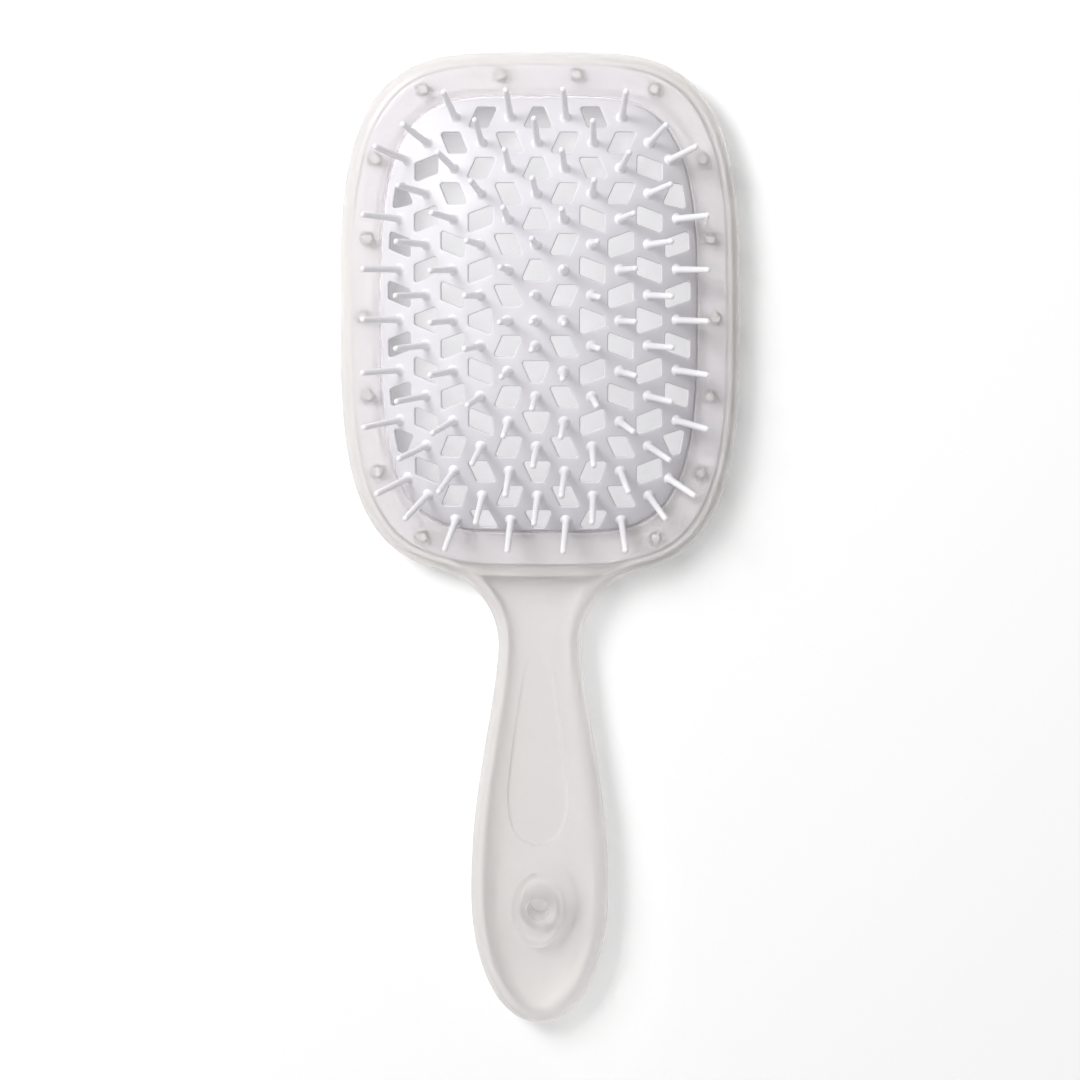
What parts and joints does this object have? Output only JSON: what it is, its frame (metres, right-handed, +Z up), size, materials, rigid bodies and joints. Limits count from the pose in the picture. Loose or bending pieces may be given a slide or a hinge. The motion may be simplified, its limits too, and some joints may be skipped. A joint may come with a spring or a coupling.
{
  "type": "detangling brush",
  "caption": "Vented detangling brush lying on its back: rounded frosted frame and handle with a hanging hole, round a domed lattice plate with fanned flexible pins.",
  "frame": {"origin": "under the middle of the whole brush, on the surface that its back lies on", "axes": "+X to the right and +Y towards the end of the head when seen from the pins' side, +Z up, the way the pins point"},
  "size_m": [0.084, 0.205, 0.0335],
  "materials": {
    "frosted_front": "frosted translucent plastic, satin",
    "frosted_back": "frosted translucent plastic, satin",
    "lattice": "satin white plastic with a faint lilac tint",
    "pins": "satin white flexible plastic"
  },
  "bodies": {
    "root": {"front_frame": "frosted_front", "back_frame": "frosted_back", "bristle_plate": "lattice", "pin_row_01": "pins", "pin_row_02": "pins", "pin_row_03": "pins", "pin_row_04": "pins", "pin_row_05": "pins", "pin_row_06": "pins", "pin_row_07": "pins", "pin_row_08": "pins", "pin_row_09": "pins", "pin_row_10": "pins", "pin_row_11": "pins", "pin_row_12": "pins", "pin_row_13": "pins", "pin_row_14": "pins", "pin_row_15": "pins", "pin_row_16": "pins", "pin_row_17": "pins"}
  },
  "joints": []
}
